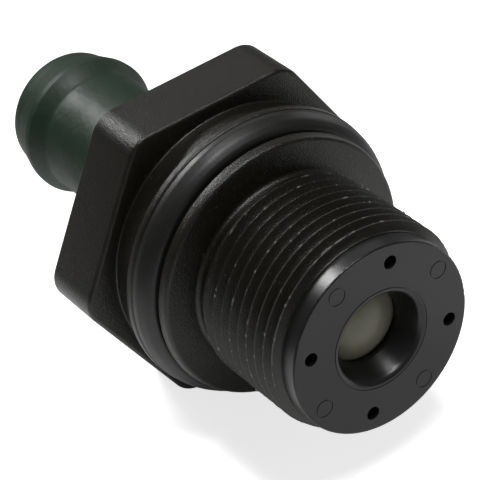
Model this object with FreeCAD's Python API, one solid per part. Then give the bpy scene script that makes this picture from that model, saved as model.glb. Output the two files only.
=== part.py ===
import FreeCAD, Part
import math
import os

# Frame. The valve lies on one hexagon flat, millimetres, floor at z = 0.
# The axis runs along X, threaded end towards +X, with x = 0 at the middle of the length.
# Sizes named _AT, _START and _END are distances behind the threaded end face.

# Hexagon
HEX_AF = 28.75
HEX_AT = 21.73
HEX_T = 6.11
HEX_CORNER_R = 2.75
HEX_EDGE_R = 0.4
AXIS_Z = HEX_AF / 2

# Boss, lip, ring groove and flange, in order from the hexagon to the thread
BOSS_STEP = 1.375
BOSS_R = HEX_AF / 2 - BOSS_STEP
LIP_HEIGHT = 0.97
LIP_R = BOSS_R + LIP_HEIGHT
LIP_T = 0.85
LIP_AT = 17.78
GROOVE_DEPTH = 2.37
GROOVE_R = LIP_R - GROOVE_DEPTH
FLANGE_HEIGHT = 1.2
FLANGE_DRAFT = 0.17
FLANGE_REAR_R = GROOVE_R + FLANGE_HEIGHT
FLANGE_FRONT_R = FLANGE_REAR_R - FLANGE_DRAFT
FLANGE_AT = 14.25
FLANGE_T = 1.19
EDGE_R = 0.2

# Threaded barrel, drawn at its crest size M20 x 1.25, with a relief behind the thread
THREAD_R = 10.0
THREAD_DEPTH = 0.75
ROOT_R = THREAD_R - THREAD_DEPTH
THREAD_START = 2.15
THREAD_END = 12.6
RELIEF_FILLET = 0.5

# Hose nipple outside, all measured from its neck
NECK_R = 6.22
NECK_BLEND = 1.5
BEAD_HEIGHT = 0.91
BEAD_R = NECK_R + BEAD_HEIGHT
BEAD_RISE = 2.4
BEAD_LAND = 0.6
BEAD_FALL = 2.4
BEAD_ROUND = 0.8
WAIST_STEP = 0.28
WAIST_R = NECK_R + WAIST_STEP
WAIST_BLEND = 3.0
TIP_END = 52.6
TIP_STEP = 0.14
TIP_R = NECK_R + TIP_STEP
TIP_LEN = 2.2
TIP_ROUND = 1.6

# Hose nipple inside, with the metering orifice at its inner end
NIPPLE_SEAT = 20.0
NIPPLE_WALL = 2.32
NIPPLE_BORE_R = NECK_R - NIPPLE_WALL
NIPPLE_BORE_ROUND = 0.3
ORIFICE_LEDGE = 0.6
ORIFICE_R = NIPPLE_BORE_R - ORIFICE_LEDGE
ORIFICE_T = 1.5

# Valve chamber inside the body, leaving a ledge for the nipple
NIPPLE_LEDGE = 1.02
CHAMBER_R = NECK_R - NIPPLE_LEDGE

# Seat cap closing the threaded end
CAP_SHY = 0.05
CAP_R = ROOT_R - CAP_SHY
CAP_EDGE_R = 0.15
CAP_T = 1.72
CAP_RIM = 1.0
CAP_SPIGOT_R = CAP_R - CAP_RIM
CAP_SPIGOT_END = 5.0
POCKET_STEP = 0.4
CAP_POCKET_R = CHAMBER_R + POCKET_STEP
FIT = 0.03

# Inlet bore through the cap
MOUTH_R = 4.35
MOUTH_ROUND = 0.72
SEAT_R = 3.36
SEAT_CONE_END = 2.2
SEAT_END = 3.1

# Small blind holes in the cap face, and the fine circles that the mould's pins and core leave
HOLE_R = 0.65
HOLE_INSET = 1.77
HOLE_PITCH_R = CAP_R - HOLE_INSET
HOLE_DEPTH = 2.5
HOLE_ANGLE = 15.4
MARK_R = 0.82
MARK_INSET = 1.55
MARK_PITCH_R = CAP_R - MARK_INSET
MARK_ANGLE = 60.9
MARK_W = 0.09
MARK_DEPTH = 0.06
CORE_MARK_R = 4.9

# Sealing ring with a flat back against the lip, a sloping crown and a rounded front
RING_SHY = 0.17
RING_FALL = 0.65
RING_BACK_R = LIP_R - RING_SHY
RING_FRONT_R = RING_BACK_R - RING_FALL
RING_GAP = 0.35
RING_ROUND = 0.9
RING_HEEL_R = 0.12

# Plunger, held a small gap behind its seat by the spring
SEAT_GAP = 0.3
DOME_R = 6.5
HEAD_PLAY = 0.5
HEAD_R = CHAMBER_R - HEAD_PLAY
HEAD_LAND = 2.3
STEM_R = 2.9
STEM_LEN = 5.5
TAIL_R = 1.9
TAIL_END = 23.0
TAIL_ROUND = 0.5

# Spring around the stem
WIRE_R = 0.3
COIL_PLAY = 0.55
COIL_R = STEM_R + COIL_PLAY + WIRE_R
COIL_TURNS = 7.0
END_GAP = 0.06

# How far a cutting tool runs past the face it opens, and how close two places count as one
OVERCUT = 1.0
SAME = 0.001


def revolved(points):
    """Solid of revolution about the valve axis from (distance, radius) points."""
    ring = [FreeCAD.Vector(-s, 0, r) for s, r in points]
    face = Part.Face(Part.makePolygon(ring + ring[:1]))
    solid = face.revolve(FreeCAD.Vector(0, 0, 0), FreeCAD.Vector(1, 0, 0), 360)
    return lift(solid)


def lift(shape):
    """Move a shape drawn from the end face along -X to its place on the valve axis."""
    return shape.translated(FreeCAD.Vector(TIP_END / 2, 0, AXIS_Z))


def cylinder(radius, start, end):
    """Cylinder on the valve axis between two distances behind the end face."""
    origin = FreeCAD.Vector(-start, 0, 0)
    return lift(Part.makeCylinder(radius, end - start, origin, FreeCAD.Vector(-1, 0, 0)))


def ring_edges(shape, targets):
    """Circular edges about the axis whose (distance, radius) is in the target list."""
    found = []
    for edge in shape.Edges:
        curve = edge.Curve
        if not isinstance(curve, Part.Circle):
            continue
        if math.hypot(curve.Center.y, curve.Center.z - AXIS_Z) > SAME:
            continue
        for s, r in targets:
            if abs(TIP_END / 2 - curve.Center.x - s) < SAME and abs(curve.Radius - r) < SAME:
                found.append(edge)
    return found


def rounded(shape, radius, targets):
    """Fillet the axial circles named by (distance, radius)."""
    return shape.makeFillet(radius, ring_edges(shape, targets))


def pin(radius, depth, y=0.0, z=0.0):
    """Short cylinder sunk from the end face at a place beside the valve axis."""
    at = FreeCAD.Vector(OVERCUT, y, z)
    return lift(Part.makeCylinder(radius, depth + OVERCUT, at, FreeCAD.Vector(-1, 0, 0)))


def fine_circle(radius, y=0.0, z=0.0):
    """Thin annular tool that leaves a fine circle in the end face."""
    outer = pin(radius + MARK_W / 2, MARK_DEPTH, y, z)
    return outer.cut(pin(radius - MARK_W / 2, MARK_DEPTH, y, z))


def four_places(pitch_r, first_angle):
    """Four (y, z) places on a pitch circle, angles measured from up towards +Y."""
    turns = [math.radians(first_angle + 90 * k) for k in range(4)]
    return [(pitch_r * math.sin(a), pitch_r * math.cos(a)) for a in turns]


def hexagon():
    """Hexagon with one flat on the floor and rounded corners and edges."""
    corner = HEX_AF / 2 / math.cos(math.pi / 6)
    points = []
    for k in range(7):
        a = math.radians(30 + 60 * k)
        points.append(FreeCAD.Vector(-HEX_AT, corner * math.sin(a), corner * math.cos(a)))
    prism = Part.Face(Part.makePolygon(points)).extrude(FreeCAD.Vector(-HEX_T, 0, 0))
    upright = [e for e in prism.Edges if abs(e.BoundBox.XLength - HEX_T) < SAME]
    prism = prism.makeFillet(HEX_CORNER_R, upright)
    rims = [e for e in prism.Edges if e.BoundBox.XLength < SAME]
    return lift(prism.makeFillet(HEX_EDGE_R, rims))


def make_body():
    """One moulding: threaded barrel, relief, flange, ring groove, lip, boss and hexagon."""
    outer = [
        (CAP_T, 0),
        (CAP_T, ROOT_R),
        (THREAD_START, THREAD_R),
        (THREAD_END, THREAD_R),
        (THREAD_END + THREAD_R - ROOT_R, ROOT_R),
        (FLANGE_AT, ROOT_R),
        (FLANGE_AT, FLANGE_FRONT_R),
        (FLANGE_AT + FLANGE_T, FLANGE_REAR_R),
        (FLANGE_AT + FLANGE_T, GROOVE_R),
        (LIP_AT, GROOVE_R),
        (LIP_AT, LIP_R),
        (LIP_AT + LIP_T, LIP_R),
        (LIP_AT + LIP_T, BOSS_R),
        (HEX_AT + HEX_T / 2, BOSS_R),
        (HEX_AT + HEX_T / 2, 0),
    ]
    solid = revolved(outer)
    solid = rounded(solid, RELIEF_FILLET, [(FLANGE_AT, ROOT_R)])
    solid = rounded(solid, EDGE_R, [
        (FLANGE_AT, FLANGE_FRONT_R), (FLANGE_AT + FLANGE_T, FLANGE_REAR_R),
        (LIP_AT, LIP_R), (LIP_AT + LIP_T, LIP_R)])
    solid = solid.fuse(hexagon()).removeSplitter()
    cuts = [
        cylinder(CAP_SPIGOT_R + FIT, CAP_T - OVERCUT, CAP_SPIGOT_END),
        cylinder(CHAMBER_R, CAP_SPIGOT_END - OVERCUT, NIPPLE_SEAT),
        cylinder(NECK_R + FIT, NIPPLE_SEAT, HEX_AT + HEX_T + OVERCUT),
    ]
    return solid.cut(Part.makeCompound(cuts))


def make_seat_cap():
    """End cap with the inlet mouth, the plunger seat, four blind holes and fine circles."""
    disc = revolved([
        (0, MOUTH_R), (0, CAP_R), (CAP_T, CAP_R), (CAP_T, CAP_SPIGOT_R),
        (CAP_SPIGOT_END, CAP_SPIGOT_R), (CAP_SPIGOT_END, CAP_POCKET_R),
        (SEAT_END, CAP_POCKET_R), (SEAT_END, SEAT_R), (SEAT_CONE_END, SEAT_R)])
    disc = rounded(disc, MOUTH_ROUND, [(0, MOUTH_R)])
    disc = rounded(disc, CAP_EDGE_R, [(0, CAP_R)])
    tools = [pin(HOLE_R, HOLE_DEPTH, y, z) for y, z in four_places(HOLE_PITCH_R, HOLE_ANGLE)]
    tools += [fine_circle(MARK_R, y, z) for y, z in four_places(MARK_PITCH_R, MARK_ANGLE)]
    tools.append(fine_circle(CORE_MARK_R))
    return disc.cut(Part.makeCompound(tools))


def make_o_ring():
    """Rubber sealing ring lying against the lip, a small gap behind the flange."""
    back = LIP_AT - FIT
    front = FLANGE_AT + FLANGE_T + RING_GAP
    ring = revolved([
        (front, GROOVE_R + FIT), (front, RING_FRONT_R), (back, RING_BACK_R),
        (back, GROOVE_R + FIT)])
    ring = rounded(ring, RING_ROUND, [(front, RING_FRONT_R)])
    return rounded(ring, RING_HEEL_R, [(back, RING_BACK_R)])


def make_hose_nipple():
    """Hose nipple: shank seated in the hexagon end, neck, retaining bead, rounded tip."""
    waist = TIP_END - TIP_LEN
    land_end = waist - BEAD_FALL
    land_start = land_end - BEAD_LAND
    neck_end = land_start - BEAD_RISE
    tube = revolved([
        (NIPPLE_SEAT, ORIFICE_R), (NIPPLE_SEAT, NECK_R), (neck_end, NECK_R),
        (land_start, BEAD_R), (land_end, BEAD_R), (waist, WAIST_R),
        (TIP_END, TIP_R), (TIP_END, NIPPLE_BORE_R),
        (NIPPLE_SEAT + ORIFICE_T, NIPPLE_BORE_R), (NIPPLE_SEAT + ORIFICE_T, ORIFICE_R)])
    tube = rounded(tube, NECK_BLEND, [(neck_end, NECK_R)])
    tube = rounded(tube, BEAD_ROUND, [(land_start, BEAD_R), (land_end, BEAD_R)])
    tube = rounded(tube, WAIST_BLEND, [(waist, WAIST_R)])
    tube = rounded(tube, TIP_ROUND, [(TIP_END, TIP_R)])
    return rounded(tube, NIPPLE_BORE_ROUND, [(TIP_END, NIPPLE_BORE_R)])


def plunger_stations():
    """Distances of the dome centre, the head edge and the head shoulder."""
    contact = SEAT_END + SEAT_GAP
    centre = contact + math.sqrt(DOME_R ** 2 - SEAT_R ** 2)
    head = centre - math.sqrt(DOME_R ** 2 - HEAD_R ** 2)
    return centre, head, head + HEAD_LAND


def make_plunger():
    """Domed head that closes the seat, spring stem and tapered metering tail."""
    centre, head, shoulder = plunger_stations()
    stem_end = shoulder + STEM_LEN
    core = revolved([
        (centre - DOME_R, 0), (centre - DOME_R, HEAD_R), (shoulder, HEAD_R),
        (shoulder, STEM_R), (stem_end, STEM_R), (TAIL_END, TAIL_R), (TAIL_END, 0)])
    middle = FreeCAD.Vector(-centre, 0, 0)
    ball = lift(Part.makeSphere(DOME_R, middle))
    keep = ball.fuse(cylinder(HEAD_R, head, TAIL_END + OVERCUT))
    core = core.common(keep).removeSplitter()
    return rounded(core, TAIL_ROUND, [(TAIL_END, TAIL_R)])


def make_spring():
    """Round wire coil between the plunger shoulder and the front face of the nipple."""
    start = plunger_stations()[2] + END_GAP + WIRE_R
    length = NIPPLE_SEAT - END_GAP - WIRE_R - start
    helix = Part.makeHelix(length / COIL_TURNS, length, COIL_R)
    section = Part.Wire(Part.Circle(
        FreeCAD.Vector(COIL_R, 0, 0), FreeCAD.Vector(0, 1, 0), WIRE_R).toShape())
    coil = Part.Wire(helix).makePipeShell([section], True, True)
    coil.rotate(FreeCAD.Vector(0, 0, 0), FreeCAD.Vector(0, 1, 0), -90)
    return lift(coil.translated(FreeCAD.Vector(-start, 0, 0)))


os.makedirs("parts", exist_ok=True)
make_body().exportStep("parts/body.step")
make_seat_cap().exportStep("parts/seat_cap.step")
make_o_ring().exportStep("parts/o_ring.step")
make_hose_nipple().exportStep("parts/hose_nipple.step")
make_plunger().exportStep("parts/plunger.step")
make_spring().exportStep("parts/spring.step")
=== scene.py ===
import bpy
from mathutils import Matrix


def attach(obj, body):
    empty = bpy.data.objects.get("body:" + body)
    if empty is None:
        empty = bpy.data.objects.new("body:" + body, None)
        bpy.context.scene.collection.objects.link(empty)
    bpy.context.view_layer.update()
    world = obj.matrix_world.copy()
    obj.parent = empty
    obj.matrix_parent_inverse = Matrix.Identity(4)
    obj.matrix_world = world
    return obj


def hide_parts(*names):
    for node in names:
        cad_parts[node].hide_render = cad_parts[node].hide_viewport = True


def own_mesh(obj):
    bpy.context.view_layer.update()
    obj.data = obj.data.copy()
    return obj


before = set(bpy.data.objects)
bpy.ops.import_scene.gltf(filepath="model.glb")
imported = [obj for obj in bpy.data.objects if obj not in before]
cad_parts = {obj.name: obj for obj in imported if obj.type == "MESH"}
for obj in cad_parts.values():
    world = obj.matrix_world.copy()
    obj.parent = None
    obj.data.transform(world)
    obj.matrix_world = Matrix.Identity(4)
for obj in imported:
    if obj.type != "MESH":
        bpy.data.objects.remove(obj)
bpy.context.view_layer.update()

import math
import bpy
import bmesh
from mathutils import Matrix, Vector, noise as random_field

# Sizes in millimetres, measured back from the threaded end face and out from the valve axis
LENGTH = 52.6
AXIS_Z = 14.375
PITCH = 1.25
THREAD_R = 10.0
ROOT_R = 9.25
THREAD_PHASE = 2.373
CAP_T = 1.72
THREAD_START = 2.15
THREAD_END = 12.6
THREAD_LAST = THREAD_END + THREAD_R - ROOT_R
ROOT_FILLET = 0.5
FLANGE_AT = 14.25
FLANGE_END = 15.44
FLANGE_R = 12.63
FLANGE_REAR_R = 12.8
FLANGE_EDGE = 0.42
FLANGE_REAR_EDGE = 0.25
GROOVE_R = 11.6
GROOVE_FILLET = 0.15
RING_AT = 15.79
RING_BACK = 17.77
RING_INNER_R = 11.65
RING_FRONT_R = 12.95
RING_R = 13.87
LIP_AT = 17.78
LIP_END = 18.63
LIP_R = 13.97
LIP_EDGE = 0.28
LIP_REAR_EDGE = 0.12
BOSS_R = 13.0
BOSS_FILLET = 0.2
BOSS_RIM = 0.3
HEX_AT = 21.73
HEX_END = 28.0
HEX_HALF = 14.375
HEX_CORNER_R = 2.75
HEX_FRONT_EDGE = 0.4
HEX_REAR_EDGE = 0.15
HEX_REAR_R = 9.0
HEX_LEAST_CORNER_R = 0.2
SPIGOT_BORE_R = 8.23
SPIGOT_END = 5.0
CHAMBER_R = 5.2
NIPPLE_SEAT = 20.0
NIPPLE_SOCKET_R = 6.25
NIPPLE_SOCKET_EDGE = 0.2
NIPPLE_BORE_R = 3.9
ORIFICE_R = 3.3
ORIFICE_END = 21.5
NECK_R = 6.22
NECK_END = 45.9
BEAD_AT = 47.5
BEAD_END = 48.15
BEAD_R = 7.15
BEAD_END_R = 7.12
TAPER_AT = 50.4
TAPER_R = 6.5
TIP_R = 6.1
TIP_END = LENGTH

# Plunger: how far its dome stands forward of the CAD's, its stem's moved part, and its stroke
DOME_SHIFT = 0.55
STEM_HELD = 12
STEM_STRETCH = 4
HEAD_BACK = 6.8

# Mouth of the cap: limits that tell the parts of the CAD's mouth apart
FACE_LIMIT_R = 4.83
SPIGOT_LIMIT_R = 5.7
WEB_LIMIT_R = 4.4
EDGE_LIMIT = 0.4
CONE_LIMIT = 2.25
WEB_LIMIT = 3
BACK_LIMIT = 3.2

# Mouth of the cap: the CAD's sizes, and those that the photo shows
MOUTH_R = 4.82
MOUTH_EDGE = 0.42
MOUTH_EDGE_STRETCH = 1.43
MOUTH_EDGE_WIDEN = 0.06
CONE_DEPTH = 1.78
CONE_SEEN_AT = 0.6
CONE_SEEN_DEPTH = 1.7
CONE_WIDEN = 0.04
CONE_FLARE = 0.12
SEAT_SEEN_AT = 2.75
WEB_SHIFT = 0.35
SEAT_R = 3.52

# One turn of the thread's profile, as fractions of the pitch and of the thread's height
CREST_HALF = 0.035
ROOT_HALF = 0.08
SHOULDER = 0.025
SHOULDER_HEIGHT = 0.93
FOOT_START = 0.03
FOOT_HEIGHT = 0.06
FOOT_END = 0.02
CREST_DIP = 0.97
SPARE_TURNS = 2

# Flash along the crests: heights in millimetres, angles in radians, and its noise
BURR_LEAST = 0.02
BURR_RAGGED = 0.03
BURR_FLECK = 0.35
BURR_HEAVY = 0.2
HEAVY_ANGLE = -0.22
HEAVY_SPAN = 0.16
HEAVY_MORE = 0.35
RAG_SCALE = 14
RAG_STEP = 5.3
RAG_FINER = 3.1
FLECK_FINER = 1.7
FLECK_OFFSET = Vector((9, 4, 2))
FLECK_LEVEL = 0.42

# Rubbed crests: the flash height where they begin, how soon they are full, and a faint fading rub
WORN_FROM = 0.026
WORN_OVER = 0.03
WORN_FAINT = 0.24
WORN_FADE = 0.02
WORN_DEPTH = 0.1

# Steps of the hexagon's outline and the share of an edge that a rounding may take
FLAT_DEG = 48.8
CORNER_DEG = 60 - FLAT_DEG
FLAT_STEPS = 44
CORNER_STEPS = 16
CUT_SHARE = 0.49

# Noise scales of the plastics, and the levels between which a painted glint shows
PATCH_SCALE = 260
WAVE_SCALE = 520
GRAIN_SCALE = 5000
TURNED_SCALE = 9000
GLINTS_COARSER = 0.7
GLINT_RANGE = (0.7, 0.8)
PATCH_RANGE = (0.3, 0.7)

# Sockets of the Mix node that hold its two colours and its result
MIX_DARK = 6
MIX_LIGHT = 7
MIX_RESULT = 2

# Stage: middle of the floor and of its painted pool of light along X in metres, and the directions
# from the valve to the lamps
POOL_X = 0.02
KEY = (-0.71, -0.17, 0.68)
TOP = (0.24, 0.055, 0.97)
REAR = (-0.32, 0.94, 0.2)
FAR = (-0.71, 0.39, 0.59)


def place(s, r, a):
    """World point, in metres, at distance s, radius r and angle a from up towards +Y."""
    return Vector(((LENGTH / 2 - s) / 1000, r * math.sin(a) / 1000,
                   (AXIS_Z + r * math.cos(a)) / 1000))


def soften(points, steps=5):
    """Round the corners of a (s, r, radius) line and return plain (s, r) points."""
    out = []
    for i, p in enumerate(points):
        radius = p[2] if len(p) > 2 else 0
        if radius <= 0 or i in (0, len(points) - 1):
            out.append((p[0], p[1]))
            continue
        here = Vector((p[0], p[1]))
        back = Vector(points[i - 1][:2]) - here
        ahead = Vector(points[i + 1][:2]) - here
        half = back.angle(ahead) / 2
        cut = min(radius / math.tan(half), back.length * CUT_SHARE, ahead.length * CUT_SHARE)
        real = cut * math.tan(half)
        back.normalize()
        ahead.normalize()
        centre = here + (back + ahead).normalized() * (real / math.sin(half))
        start = here + back * cut - centre
        end = here + ahead * cut - centre
        turn = start.angle(end)
        for k in range(steps + 1):
            t = k / steps
            w = (math.sin((1 - t) * turn) * start + math.sin(t * turn) * end) / math.sin(turn)
            out.append(tuple(centre + w))
    return out


def body_angles():
    """Angles around the axis, closer together at the hexagon's corners."""
    flat, corner = math.radians(FLAT_DEG), math.radians(CORNER_DEG)
    out = []
    for k in range(6):
        base = math.radians(60 * k) - flat / 2
        out += [base + flat * j / FLAT_STEPS for j in range(FLAT_STEPS)]
        out += [base + flat + corner * j / CORNER_STEPS for j in range(CORNER_STEPS)]
    return out


def hexagon_radius(inset):
    """Polar radius of the rounded hexagon, moved inwards by the inset."""
    half = HEX_HALF - inset
    corner = max(HEX_CORNER_R - inset, HEX_LEAST_CORNER_R)
    centre = (half - corner) / math.cos(math.pi / 6)

    def radius(a):
        off = (a + math.pi / 6) % (math.pi / 3) - math.pi / 6
        if half * abs(math.tan(off)) <= centre * 0.5:
            return half / math.cos(off)
        d = math.pi / 6 - abs(off)
        return centre * math.cos(d) + math.sqrt(max(corner ** 2 - (centre * math.sin(d)) ** 2, 0))
    return radius


def ring(bm, s, radius, angles):
    """Ring of vertices; radius is a number or a function of the angle."""
    return [bm.verts.new(place(s, radius(a) if callable(radius) else radius, a)) for a in angles]


def skin(bm, rings):
    """Join neighbouring rings of equal length with quads."""
    for low, high in zip(rings, rings[1:]):
        n = len(low)
        for j in range(n):
            k = (j + 1) % n
            bm.faces.new((low[j], low[k], high[k], high[j]))


def make_piece(name, bm, body, replaces, smooth_deg=35):
    """Finish a bmesh as a smooth shaded object that rides on a body."""
    bmesh.ops.remove_doubles(bm, verts=bm.verts, dist=1e-7)
    bmesh.ops.recalc_face_normals(bm, faces=bm.faces)
    for face in bm.faces:
        face.smooth = True
    limit = math.radians(smooth_deg)
    for edge in bm.edges:
        if len(edge.link_faces) == 2 and edge.calc_face_angle(0) > limit:
            edge.smooth = False
    mesh = bpy.data.meshes.new(name)
    bm.to_mesh(mesh)
    bm.free()
    piece = bpy.data.objects.new(name, mesh)
    bpy.context.scene.collection.objects.link(piece)
    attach(piece, body)
    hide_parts(replaces)
    return piece


def burr(a, turn):
    """Height in millimetres of the ragged flash along a thread crest."""
    at = Vector((math.cos(a) * RAG_SCALE, math.sin(a) * RAG_SCALE, turn * RAG_STEP))
    rag = random_field.noise(at) + 0.5 * random_field.noise(at * RAG_FINER)
    fleck = max(random_field.noise(at * FLECK_FINER + FLECK_OFFSET) - FLECK_LEVEL, 0)
    heavy = math.exp(-((a - HEAVY_ANGLE) / HEAVY_SPAN) ** 2) if turn == 0 else 0
    ragged = BURR_RAGGED * max(rag, 0)
    return BURR_LEAST + ragged + BURR_FLECK * fleck + BURR_HEAVY * heavy * max(rag + HEAVY_MORE, 0)


def rubbed_crest(s, flash):
    """How light a crest is rubbed: by the height of its flash, and faintly near the cap."""
    rubbed = min(max((flash - WORN_FROM) / WORN_OVER, 0), 1)
    return max(rubbed, WORN_FAINT - WORN_FADE * s, 0)


def thread_stations():
    """(fraction of the pitch from the crest, height, crest flag) once round the profile."""
    foot = 0.5 - ROOT_HALF
    crest = [(-CREST_HALF, 1.0, 1), (0.0, CREST_DIP, 1), (CREST_HALF, 1.0, 1)]
    flank = [(CREST_HALF + SHOULDER, SHOULDER_HEIGHT), ((CREST_HALF + foot) / 2, 0.5),
             (foot - FOOT_START, FOOT_HEIGHT), (foot + FOOT_END, 0.0)]
    return (crest + [(part, height, 0) for part, height in flank]
            + [(1 - part, height, 0) for part, height in reversed(flank)])


def thread_columns(bm, angles, wear):
    """One column of vertices per angle along the helical thread, clamped at both ends."""
    turns = int((THREAD_LAST - CAP_T) / PITCH) + 2 * SPARE_TURNS
    rise = (THREAD_R - ROOT_R) / (THREAD_START - CAP_T)
    columns = []
    for a in angles:
        column = []
        for turn in range(-SPARE_TURNS, turns - SPARE_TURNS):
            for part, height, crest in thread_stations():
                s = THREAD_PHASE + PITCH * (a / (2 * math.pi) + turn + part)
                held = min(max(s, CAP_T), THREAD_LAST)
                flash = burr(a if a < math.pi else a - 2 * math.pi, turn) if crest else 0
                r = ROOT_R + (THREAD_R - ROOT_R) * height + (flash if height == 1.0 else 0)
                r = min(r, ROOT_R + (held - CAP_T) * rise, ROOT_R + THREAD_LAST - held)
                vert = bm.verts.new(place(held, r, a))
                outer = crest and r > THREAD_R - WORN_DEPTH
                vert[wear] = rubbed_crest(held, flash) if outer else 0
                column.append(vert)
        columns.append(column)
    return columns


def join_columns(bm, columns, shift_last):
    """Skin the columns; the last one meets the first a whole turn further on."""
    for j, here in enumerate(columns):
        closing = j == len(columns) - 1
        there = columns[0] if closing else columns[j + 1]
        shift = shift_last if closing else 0
        for m in range(len(here) - 1 - shift):
            a, b, c, d = here[m], there[m + shift], there[m + 1 + shift], here[m + 1]
            if (a.co - d.co).length > 1e-8 or (b.co - c.co).length > 1e-8:
                bm.faces.new((a, b, c, d))


def build_body():
    """Whole body moulding with its helical thread, as one closed mesh."""
    bm = bmesh.new()
    wear = bm.verts.layers.float.new("wear")
    angles = body_angles()
    columns = thread_columns(bm, angles, wear)
    join_columns(bm, columns, len(thread_stations()))
    outer = soften([
        (THREAD_LAST, ROOT_R), (FLANGE_AT, ROOT_R, ROOT_FILLET),
        (FLANGE_AT, FLANGE_R, FLANGE_EDGE), (FLANGE_END, FLANGE_REAR_R, FLANGE_REAR_EDGE),
        (FLANGE_END, GROOVE_R, GROOVE_FILLET), (LIP_AT, GROOVE_R, GROOVE_FILLET),
        (LIP_AT, LIP_R, LIP_EDGE), (LIP_END, LIP_R, LIP_REAR_EDGE),
        (LIP_END, BOSS_R, LIP_REAR_EDGE), (HEX_AT, BOSS_R, BOSS_FILLET),
        (HEX_AT, BOSS_R + BOSS_RIM)], steps=4)
    rings = [ring(bm, s, r, angles) for s, r in outer]
    turns = (0, 0.32, 0.65, 0.98, 1.3, math.pi / 2)
    arc = [(1 - math.cos(t), 1 - math.sin(t)) for t in turns]
    rings += [ring(bm, HEX_AT + HEX_FRONT_EDGE * deep, hexagon_radius(HEX_FRONT_EDGE * inset), angles)
              for deep, inset in arc]
    rings += [ring(bm, HEX_END - HEX_REAR_EDGE * deep, hexagon_radius(HEX_REAR_EDGE * inset), angles)
              for deep, inset in reversed(arc)]
    inner = soften([
        (HEX_END, HEX_REAR_R), (HEX_END, NIPPLE_SOCKET_R, NIPPLE_SOCKET_EDGE),
        (NIPPLE_SEAT, NIPPLE_SOCKET_R), (NIPPLE_SEAT, CHAMBER_R), (SPIGOT_END, CHAMBER_R),
        (SPIGOT_END, SPIGOT_BORE_R), (CAP_T, SPIGOT_BORE_R), (CAP_T, ROOT_R)], steps=3)
    rings += [ring(bm, s, r, angles) for s, r in inner]
    skin(bm, rings)
    return make_piece("valve_body", bm, "housing", "body", smooth_deg=38)


def lathe(name, profile, body, replaces, steps=6, around=288):
    """Closed ring turned from a loop of (s, r, rounding) points."""
    bm = bmesh.new()
    angles = [2 * math.pi * j / around for j in range(around)]
    loop = soften(profile + profile[:1], steps)[:-1]
    rings = [ring(bm, s, r, angles) for s, r in loop]
    skin(bm, rings + rings[:1])
    return make_piece(name, bm, body, replaces)


def build_nipple():
    """Hose nipple with its waisted tip, retaining bead, shank and stepped bore."""
    return lathe("nipple_tube", [
        (NIPPLE_SEAT, ORIFICE_R), (NIPPLE_SEAT, NECK_R, 0.1), (NECK_END, NECK_R, 1.0),
        (46.95, 6.85, 0.7), (BEAD_AT, BEAD_R, 0.5), (BEAD_END, BEAD_END_R, 0.8),
        (TAPER_AT, TAPER_R, 3.5), (TIP_END, TIP_R, 2.0), (TIP_END, NIPPLE_BORE_R, 0.3),
        (ORIFICE_END, NIPPLE_BORE_R), (ORIFICE_END, ORIFICE_R)],
        "housing", "hose_nipple")


def build_ring():
    """Rubber sealing ring with a sloping round crown and a flat back against the lip."""
    return lathe("seal_ring", [
        (RING_AT, RING_INNER_R), (RING_AT, RING_FRONT_R, 0.8), (16.45, 13.55, 1.4),
        (17.2, 13.86, 0.9), (RING_BACK, RING_R, 0.04), (RING_BACK, RING_INNER_R)],
        "housing", "o_ring")


def reshaped(node, name, body, move):
    """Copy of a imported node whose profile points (s, r) are moved by a function."""
    mesh = bpy.data.objects[node].data.copy()
    mesh.name = name
    for vert in mesh.vertices:
        s = LENGTH / 2 - vert.co.x * 1000
        off = Vector((vert.co.y * 1000, vert.co.z * 1000 - AXIS_Z))
        r = off.length
        if r > 0.01:
            s, wide = move(s, r)
            off *= wide / r
            vert.co = ((LENGTH / 2 - s) / 1000, off.x / 1000, (AXIS_Z + off.y) / 1000)
        else:
            vert.co.x = (LENGTH / 2 - move(s, r)[0]) / 1000
    piece = bpy.data.objects.new(name, mesh)
    bpy.context.scene.collection.objects.link(piece)
    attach(piece, body)
    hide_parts(node)
    return piece


def open_mouth(s, r):
    """Widen the cap's mouth and bring its seat and inner web forward, as the photo shows them."""
    if r > FACE_LIMIT_R and s < EDGE_LIMIT or r > SPIGOT_LIMIT_R or s > BACK_LIMIT:
        return s, r
    if s < EDGE_LIMIT:
        return s * MOUTH_EDGE_STRETCH, r + MOUTH_EDGE_WIDEN * (MOUTH_R - r)
    if r > WEB_LIMIT_R:
        return (s - WEB_SHIFT, r) if s > WEB_LIMIT else (s, r)
    if s < CONE_LIMIT:
        deep = (s - MOUTH_EDGE) / CONE_DEPTH
        return CONE_SEEN_AT + CONE_SEEN_DEPTH * deep, r + CONE_WIDEN + CONE_FLARE * deep
    return SEAT_SEEN_AT, SEAT_R


def push_forward(s, r):
    """Bring the plunger's head up to the seat and let the stem make up the length."""
    return s - DOME_SHIFT * min(max((STEM_HELD - s) / STEM_STRETCH, 0), 1), r


def reach_head(s, r):
    """Lengthen the spring so that it still meets the plunger's head."""
    return s - DOME_SHIFT * (NIPPLE_SEAT - s) / (NIPPLE_SEAT - HEAD_BACK), r


def build_spring():
    """Coil from the nipple, lengthened to reach the plunger's head."""
    coil = reshaped("spring", "coil_spring", "housing", reach_head)
    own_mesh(coil)
    return coil


def node_tree(name):
    """New material, its node tree and its shader."""
    material = bpy.data.materials.new(name)
    material.use_nodes = True
    tree = material.node_tree
    return material, tree, tree.nodes["Principled BSDF"]


def noise(tree, coords, scale, detail=3.0, rough=0.55):
    """Noise value between 0 and 1 at the given coordinates."""
    node = tree.nodes.new("ShaderNodeTexNoise")
    node.inputs["Scale"].default_value = scale
    node.inputs["Detail"].default_value = detail
    node.inputs["Roughness"].default_value = rough
    tree.links.new(coords, node.inputs["Vector"])
    return node.outputs["Fac"]


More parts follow.
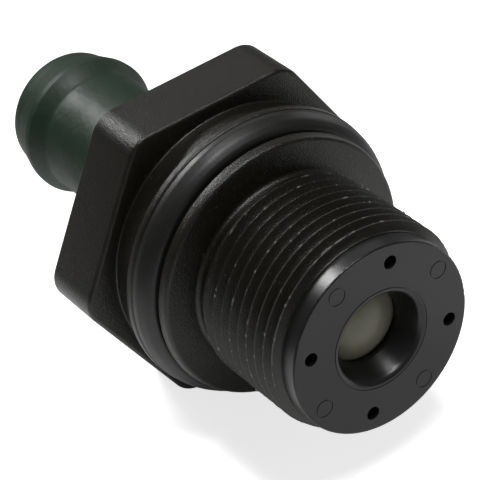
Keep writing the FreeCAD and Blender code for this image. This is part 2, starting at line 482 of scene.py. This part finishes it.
def spread(tree, value, low, high, new_low, new_high):
    """Map a range of values to another, clamped."""
    node = tree.nodes.new("ShaderNodeMapRange")
    node.inputs["From Min"].default_value = low
    node.inputs["From Max"].default_value = high
    node.inputs["To Min"].default_value = new_low
    node.inputs["To Max"].default_value = new_high
    tree.links.new(value, node.inputs["Value"])
    return node.outputs["Result"]


def combine(tree, operation, one, two):
    """Sum, product and so on of two values; each is a number or a socket."""
    node = tree.nodes.new("ShaderNodeMath")
    node.operation = operation
    for index, value in enumerate((one, two)):
        if isinstance(value, float):
            node.inputs[index].default_value = value
        else:
            tree.links.new(value, node.inputs[index])
    return node.outputs["Value"]


def glow(tree, seen, mirrored):
    """Strength of a glow as the camera sees it, and as gloss and glass show it."""
    path = tree.nodes.new("ShaderNodeLightPath")
    strength = combine(tree, "MULTIPLY", path.outputs["Is Camera Ray"], seen)
    for kind in ("Is Glossy Ray", "Is Transmission Ray"):
        shown = combine(tree, "MULTIPLY", path.outputs[kind], mirrored)
        strength = combine(tree, "MAXIMUM", strength, shown)
    return strength


def tint(tree, value, dark, light):
    """Mix two colours; each is a triple or a socket."""
    node = tree.nodes.new("ShaderNodeMix")
    node.data_type = "RGBA"
    for index, colour in ((MIX_DARK, dark), (MIX_LIGHT, light)):
        if isinstance(colour, tuple):
            node.inputs[index].default_value = (*colour, 1)
        else:
            tree.links.new(colour, node.inputs[index])
    tree.links.new(value, node.inputs[0])
    return node.outputs[MIX_RESULT]


def around_axis(tree, coords):
    """Place along the axis and distance from it, as a vector, and the distance alone."""
    parts = tree.nodes.new("ShaderNodeSeparateXYZ")
    tree.links.new(coords, parts.inputs["Vector"])
    across = tree.nodes.new("ShaderNodeMapping")
    across.inputs["Scale"].default_value = (0, 1, 1)
    across.inputs["Location"].default_value = (0, 0, -AXIS_Z / 1000)
    tree.links.new(coords, across.inputs["Vector"])
    size = tree.nodes.new("ShaderNodeVectorMath")
    size.operation = "LENGTH"
    tree.links.new(across.outputs["Vector"], size.inputs[0])
    both = tree.nodes.new("ShaderNodeCombineXYZ")
    tree.links.new(parts.outputs["X"], both.inputs["X"])
    tree.links.new(size.outputs["Value"], both.inputs["Y"])
    return both.outputs["Vector"], size.outputs["Value"]


def bump(tree, shader, layers):
    """Stack bump layers given as (height socket, depth in metres)."""
    previous = None
    for height, depth in layers:
        node = tree.nodes.new("ShaderNodeBump")
        node.inputs["Distance"].default_value = depth
        node.inputs["Strength"].default_value = 1.0
        tree.links.new(height, node.inputs["Height"])
        if previous:
            tree.links.new(previous, node.inputs["Normal"])
        previous = node.outputs["Normal"]
    tree.links.new(previous, shader.inputs["Normal"])


def plastic(name, dark, light, rough, grain, wave, grain_scale=GRAIN_SCALE, turned=None,
            glint_colour=None, worn=None):
    """Moulded plastic: grain, slow waviness, patchy gloss, colour drift, optional painted glints and
    optional wear.

    grain and wave are depths in metres, turned is (depth, inner radius, outer radius) of fine
    turned rings in metres, the speck colour paints small glints of the grain as light flecks, and
    worn the colour of rubbed crests."""
    material, tree, shader = node_tree(name)
    coords = tree.nodes.new("ShaderNodeTexCoord").outputs["Object"]
    patches = noise(tree, coords, PATCH_SCALE, detail=4.0)
    fine = noise(tree, coords, grain_scale, detail=2.0)
    colour = tint(tree, patches, dark, light)
    layers = [(noise(tree, coords, WAVE_SCALE, detail=2.0), wave), (fine, grain)]
    if turned:
        depth, inner, outer = turned
        line, radius = around_axis(tree, coords)
        rings = noise(tree, line, TURNED_SCALE, detail=2.0)
        inside = spread(tree, radius, inner, outer, 1, 0)
        layers.append((combine(tree, "MULTIPLY", rings, inside), depth))
    # Painted glints: light flecks in the colour stand in for glints of the grain
    if glint_colour:
        glint_noise = noise(tree, coords, grain_scale * GLINTS_COARSER, detail=1.0)
        painted_glints = spread(tree, glint_noise, *GLINT_RANGE, 0, 1)
        colour = tint(tree, painted_glints, colour, glint_colour)
    if worn:
        attribute = tree.nodes.new("ShaderNodeAttribute")
        attribute.attribute_name = "wear"
        colour = tint(tree, attribute.outputs["Fac"], colour, worn)
    tree.links.new(colour, shader.inputs["Base Color"])
    tree.links.new(spread(tree, patches, *PATCH_RANGE, *rough), shader.inputs["Roughness"])
    bump(tree, shader, layers)
    return material


def assign(obj, material):
    """Give an object this one material."""
    obj.data.materials.clear()
    obj.data.materials.append(material)


def spring_steel():
    """Drawn steel wire."""
    material, tree, shader = node_tree("spring_steel")
    shader.inputs["Metallic"].default_value = 1.0
    coords = tree.nodes.new("ShaderNodeTexCoord").outputs["Object"]
    drawn = noise(tree, coords, scale=1800)
    colour = tint(tree, drawn, (0.35, 0.35, 0.36), (0.6, 0.6, 0.6))
    tree.links.new(colour, shader.inputs["Base Color"])
    tree.links.new(spread(tree, drawn, *PATCH_RANGE, 0.25, 0.4), shader.inputs["Roughness"])
    return material


pieces = {
    "body": build_body(),
    "o_ring": build_ring(),
    "hose_nipple": build_nipple(),
    "seat_cap": reshaped("seat_cap", "cap_disc", "housing", open_mouth),
    "plunger": reshaped("plunger", "plunger_head", "plunger", push_forward),
    "spring": build_spring(),
}
materials = {
    # The black nylon's light flecks are painted glints of its grain
    "body": plastic("black_nylon", (0.0062, 0.0056, 0.0034), (0.0103, 0.0093, 0.0057),
                    rough=(0.27, 0.33), grain=0.00005, wave=0.00001, grain_scale=8000,
                    glint_colour=(0.09, 0.09, 0.085), worn=(0.32, 0.32, 0.31)),
    "seat_cap": plastic("cap_nylon", (0.008, 0.008, 0.0078), (0.012, 0.012, 0.0117),
                        rough=(0.27, 0.33), grain=0.000005, wave=0.000006,
                        turned=(0.000014, 0.0047, 0.005)),
    "o_ring": plastic("ring_rubber", (0.008, 0.0075, 0.007), (0.013, 0.0125, 0.0115),
                      rough=(0.36, 0.48), grain=0.000012, wave=0.00001),
    "hose_nipple": plastic("green_nylon", (0.0026, 0.0165, 0.0058), (0.0042, 0.0225, 0.0085),
                           rough=(0.45, 0.61), grain=0.000006, wave=0.0001),
    "plunger": plastic("cream_acetal", (0.19, 0.18, 0.126), (0.27, 0.259, 0.193),
                       rough=(0.3, 0.38), grain=0.000002, wave=0.000005,
                       turned=(0.000004, 0.005, 0.006)),
    "spring": spring_steel(),
}
for node, material in materials.items():
    assign(pieces[node], material)


def aim_camera():
    """Camera solved from the circles of the photograph."""
    camera = bpy.data.objects.new("camera", bpy.data.cameras.new("camera"))
    bpy.context.scene.collection.objects.link(camera)
    right = Vector((0.56619, 0.81018, -0.15178))
    up = Vector((-0.41598, 0.43982, 0.79594))
    back = Vector((0.71161, -0.38751, 0.58604))
    turn = Matrix((right, up, back)).transposed().to_4x4()
    turn.translation = Vector((0.157991, -0.083392, 0.139881))
    camera.matrix_world = turn
    camera.data.sensor_width = 36
    camera.data.lens = 175.81
    camera.data.clip_start = 0.01
    bpy.context.scene.camera = camera


def white_floor(half, seen, mirrored, pool):
    """White sheet under the valve that keeps its shadow.

    It glows for what the camera sees and, within the pool only, less for what gloss mirrors. The pool
    is a painted pool of light: the sheet is pale within it and grey beyond."""
    mesh = bpy.data.meshes.new("floor")
    corners = [(-half, -half, 0), (half, -half, 0), (half, half, 0), (-half, half, 0)]
    mesh.from_pydata(corners, [], [(0, 1, 2, 3)])
    floor = bpy.data.objects.new("floor", mesh)
    bpy.context.scene.collection.objects.link(floor)
    floor.location.x = POOL_X
    white, tree, shader = node_tree("floor_painted_light_pool")
    shader.inputs["Roughness"].default_value = 0.9
    shader.inputs["Specular IOR Level"].default_value = 0.0
    shader.inputs["Emission Color"].default_value = (1, 1, 1, 1)
    coords = tree.nodes.new("ShaderNodeTexCoord").outputs["Object"]
    away = tree.nodes.new("ShaderNodeVectorMath")
    away.operation = "LENGTH"
    tree.links.new(coords, away.inputs[0])
    # Painted pool of light: within the pool the floor is pale and glows a little for gloss, and
    # beyond it the floor turns grey
    pool_painted_glow = spread(tree, away.outputs["Value"], *pool, mirrored, 0)
    pool_painted_light = spread(tree, away.outputs["Value"], *pool, 1, 0)
    grey, pale = (0.2, 0.2, 0.2), (0.9, 0.9, 0.9)
    tree.links.new(tint(tree, pool_painted_light, grey, pale), shader.inputs["Base Color"])
    beyond = spread(tree, away.outputs["Value"], *pool, seen, 1)
    tree.links.new(glow(tree, beyond, pool_painted_glow), shader.inputs["Emission Strength"])
    assign(floor, white)


def plain_world(level, mirrored):
    """Dim studio around the valve that the camera sees as white."""
    world = bpy.data.worlds.new("studio")
    bpy.context.scene.world = world
    world.use_nodes = True
    tree = world.node_tree
    sky = tree.nodes["Background"]
    sky.inputs["Color"].default_value = (1, 1, 1, 1)
    strength = combine(tree, "MAXIMUM", glow(tree, 1.0, mirrored), level)
    tree.links.new(strength, sky.inputs["Strength"])


def soft_lamp(name, direction, radius, radiance, length=1.0, distance=0.6):
    """Oval area light of a given radiance, aimed at the middle of the valve."""
    lamp = bpy.data.lights.new(name, "AREA")
    lamp.shape = "ELLIPSE"
    lamp.size = 2 * radius
    lamp.size_y = 2 * radius * length
    lamp.energy = 4 * math.pi * radius ** 2 * length * radiance
    light = bpy.data.objects.new(name, lamp)
    bpy.context.scene.collection.objects.link(light)
    way = Vector(direction).normalized()
    light.location = Vector((0, 0, AXIS_Z / 1000)) + way * distance
    side = Vector((0, 1, 0)).cross(way).normalized()
    turn = Matrix((side.cross(way), side, way)).transposed()
    light.rotation_euler = turn.to_euler()


aim_camera()
white_floor(half=0.6, seen=0.75, mirrored=0.09, pool=(0.042, 0.11))
plain_world(level=0.08, mirrored=0.1)
soft_lamp("key_core", KEY, radius=0.07, radiance=25)
soft_lamp("key_halo", KEY, radius=0.14, radiance=1.6)
soft_lamp("top_core", TOP, radius=0.055, radiance=18, length=2.8)
soft_lamp("top_halo", TOP, radius=0.1, radiance=1.5, length=1.8)
soft_lamp("rear_fill", REAR, radius=0.15, radiance=1)
soft_lamp("far_fill", FAR, radius=0.2, radiance=0.3)
bpy.context.scene.view_settings.view_transform = "Standard"
